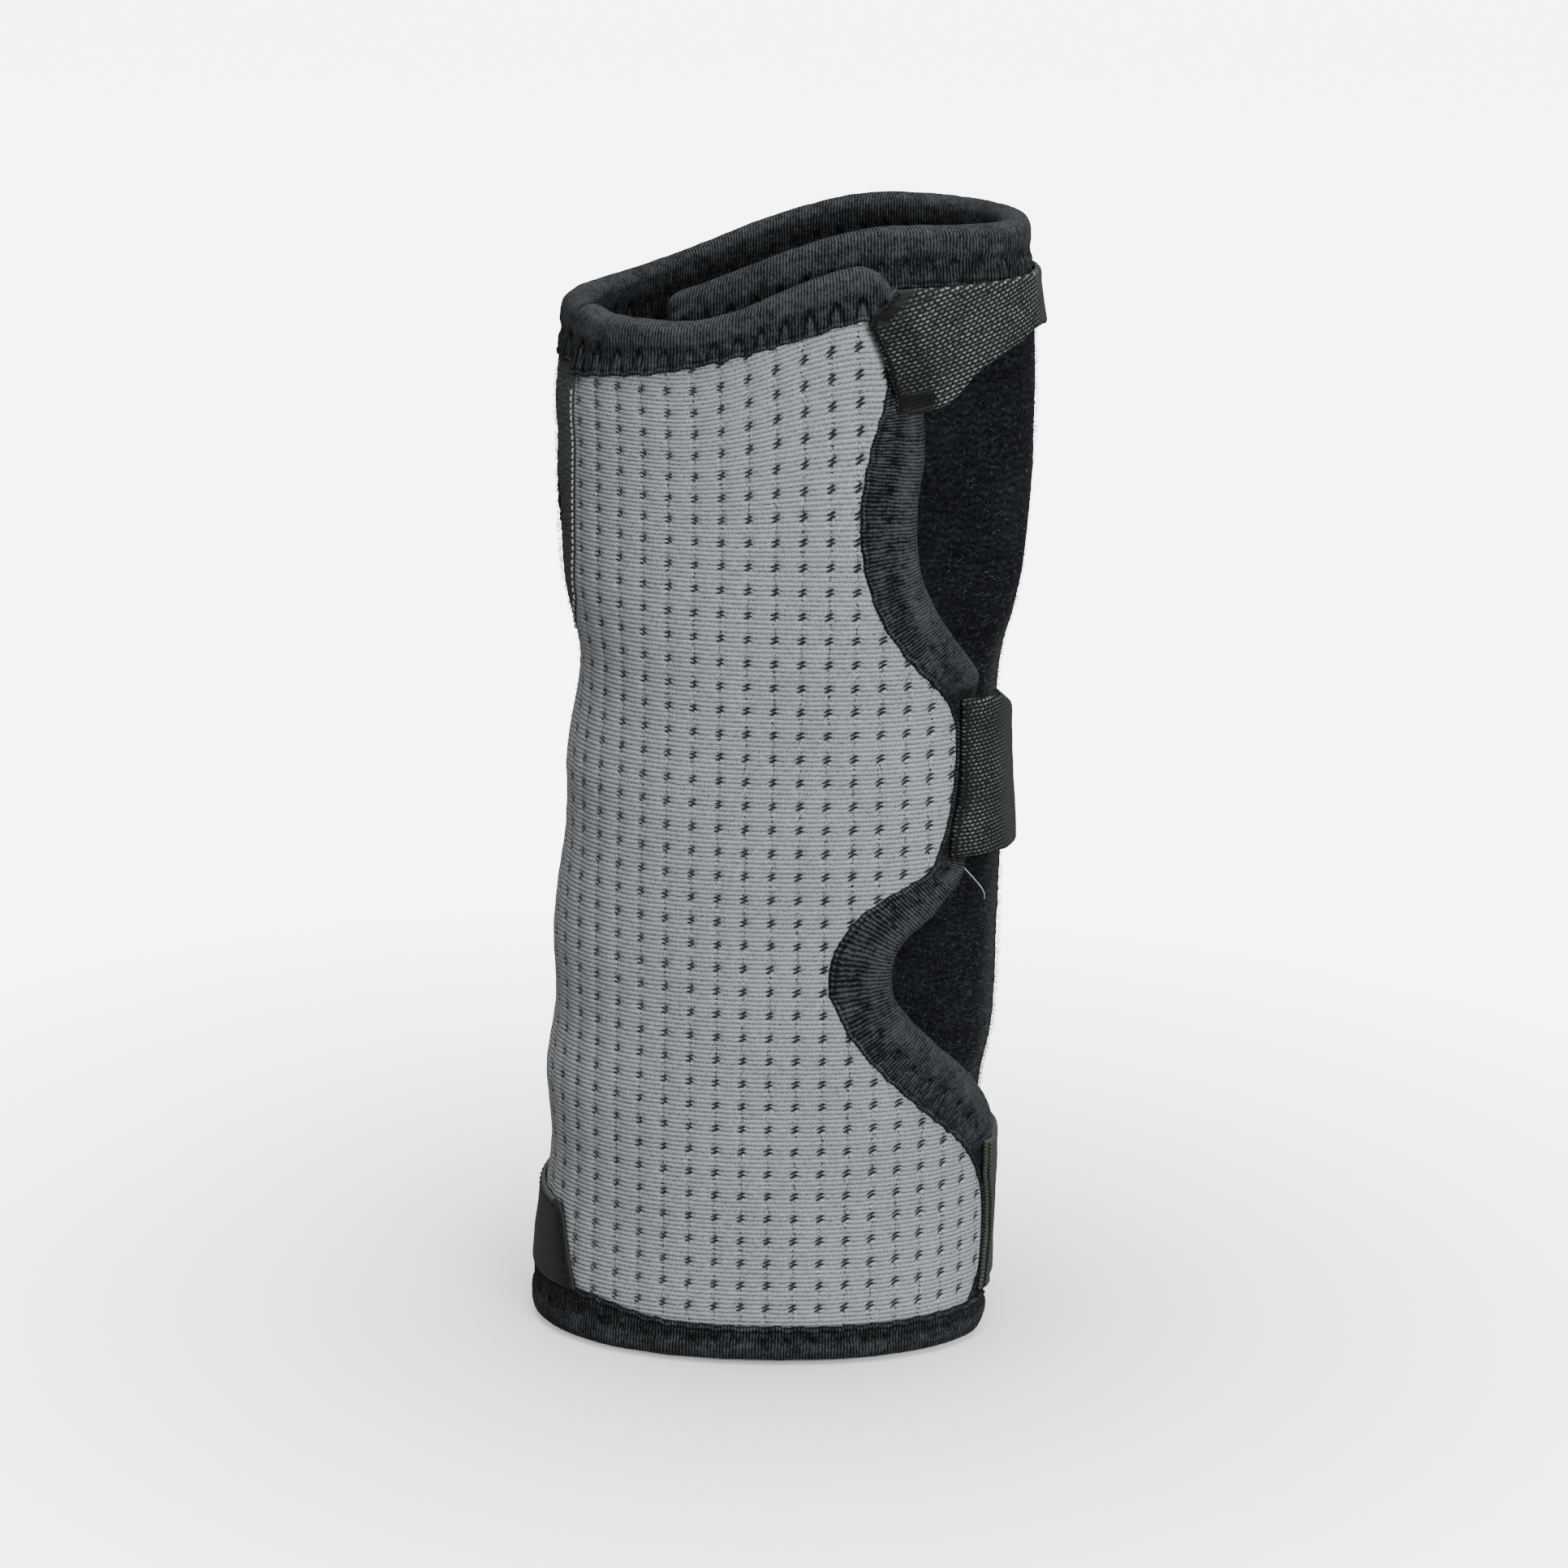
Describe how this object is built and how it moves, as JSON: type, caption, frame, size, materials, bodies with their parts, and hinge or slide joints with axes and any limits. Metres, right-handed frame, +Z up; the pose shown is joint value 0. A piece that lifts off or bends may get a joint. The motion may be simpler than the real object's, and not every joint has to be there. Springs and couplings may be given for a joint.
{
  "type": "wrist guard",
  "caption": "Padded wrap-around wrist guard: front panel with scalloped edge, loop back, bound edges, elastic straps, thumb opening and removable stay.",
  "frame": {"origin": "middle of the footprint of the whole part, on the flat bottom rim", "axes": "+Z up from the forearm end to the hand end, +X to the right of the front panel with its scalloped edge, +Y to the back with the loop fabric"},
  "size_m": [0.0888, 0.0578, 0.202],
  "materials": {
    "grey_fabric": "dimpled knitted outer fabric with fine cross ribs",
    "loop_fabric": "brushed loop fabric, matt and fuzzy",
    "lining": "smooth knitted lining over foam",
    "binding": "ribbed stretch binding tape with zigzag stitching",
    "elastic": "woven elastic webbing",
    "hook": "moulded hook tape",
    "label": "smooth woven satin label, blank",
    "stay_metal": "bare bent strip",
    "stay_tip": "dipped plastic ends"
  },
  "bodies": {
    "sleeve": {"outer_panel": "grey_fabric", "outer_panel_padding": "lining", "loop_panel": "loop_fabric", "loop_panel_padding": "lining", "front_top_binding": "binding", "front_bottom_binding": "binding", "back_top_binding": "binding", "back_bottom_binding": "binding", "upper_scallop_binding": "binding", "lower_scallop_binding": "binding", "middle_tab_edging": "binding", "bottom_tab_edging": "binding", "flap_end_binding": "binding", "thumb_binding": "binding", "side_label": "label", "side_seam_tape": "lining", "stay_pocket": "lining", "pocket_stop": "lining"},
    "top_strap": {"top_strap": "elastic", "top_hook_tab": "hook"},
    "middle_strap": {"middle_strap": "elastic", "middle_hook_tab": "hook"},
    "bottom_strap": {"bottom_strap": "elastic", "bottom_hook_tab": "hook"},
    "stay": {"palm_stay": "stay_metal", "stay_tip_top": "stay_tip", "stay_tip_bottom": "stay_tip"}
  },
  "joints": [
    {"name": "top_strap_swing", "type": "hinge", "parent": "sleeve", "child": "top_strap", "pos_m": [0.01861, -0.02742, 0.182], "axis": [0, 0, 1], "range_deg": [-100, 0]},
    {"name": "middle_strap_swing", "type": "hinge", "parent": "sleeve", "child": "middle_strap", "pos_m": [0.03182, -0.02092, 0.106], "axis": [0, 0, 1], "range_deg": [-100, 0]},
    {"name": "bottom_strap_swing", "type": "hinge", "parent": "sleeve", "child": "bottom_strap", "pos_m": [0.03978, -0.00991, 0.023], "axis": [0, 0, 1], "range_deg": [-100, 0]},
    {"name": "stay_slide", "type": "slide", "parent": "sleeve", "child": "stay", "axis": [0, 0, 1], "range_m": [0, 0.15]}
  ]
}
